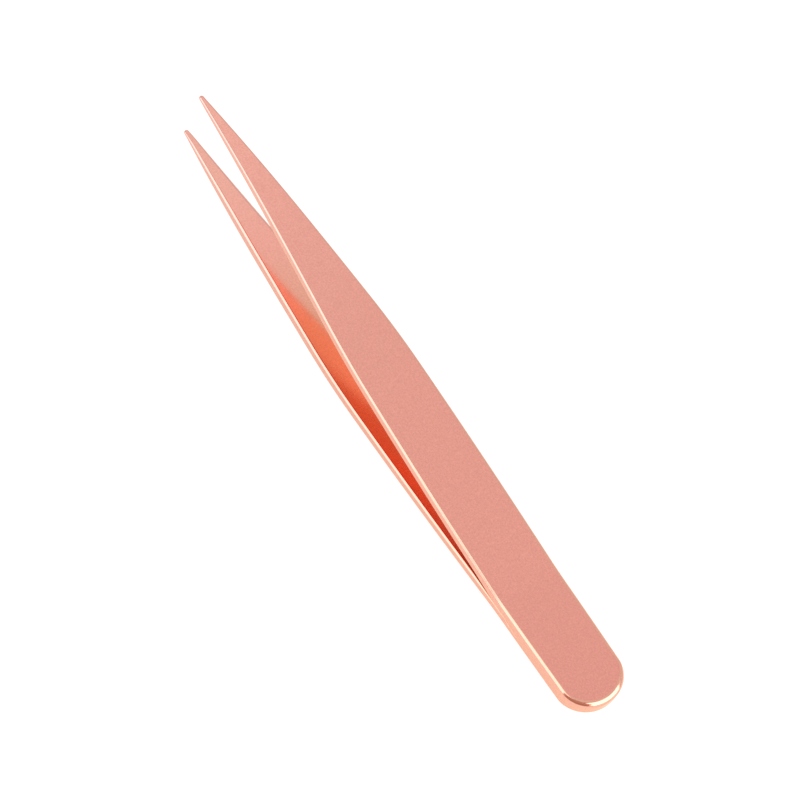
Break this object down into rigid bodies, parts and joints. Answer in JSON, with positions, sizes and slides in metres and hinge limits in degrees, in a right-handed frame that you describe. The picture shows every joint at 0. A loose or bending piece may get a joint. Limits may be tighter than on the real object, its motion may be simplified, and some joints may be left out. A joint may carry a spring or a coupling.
{
  "type": "pointed tweezers",
  "caption": "Slim metal tweezers with sprung arms, a rounded welded butt end and needle-fine points.",
  "frame": {"origin": "centre of the model's box, at its bottom: below the middle of the tool's length, level with the lowest point of the lower arm's bow", "axes": "+X along the tool from the butt end towards the tips, +Y across the arms, +Z from the lower arm to the upper arm, at right angles to the faces that are welded together"},
  "size_m": [0.095, 0.0096, 0.0112],
  "materials": {
    "coated_steel": "fine satin, rose-gold coated stainless steel",
    "coated_weld": "ground flush, rose-gold coated",
    "bare_steel": "bare weld metal"
  },
  "bodies": {
    "butt": {"upper_arm_heel": "coated_steel", "lower_arm_heel": "coated_steel", "spot_welds": "bare_steel", "edge_weld": "coated_weld"},
    "upper_blade": {"upper_arm_blade": "coated_steel"},
    "lower_blade": {"lower_arm_blade": "coated_steel"}
  },
  "joints": [
    {"name": "upper_arm_flex", "type": "hinge", "parent": "butt", "child": "upper_blade", "pos_m": [-0.01555, 0, 0.0074], "axis": [0, 1, 0], "range_deg": [0, 4.26], "stiffness_Nm_per_rad": 2.5},
    {"name": "lower_arm_flex", "type": "hinge", "parent": "butt", "child": "lower_blade", "pos_m": [-0.01555, 0, 0.0038], "axis": [0, -1, 0], "range_deg": [0, 4.26], "stiffness_Nm_per_rad": 2.5}
  ],
  "couplings": [
    {"joint": "lower_arm_flex", "follows": "upper_arm_flex", "ratio": 1}
  ]
}
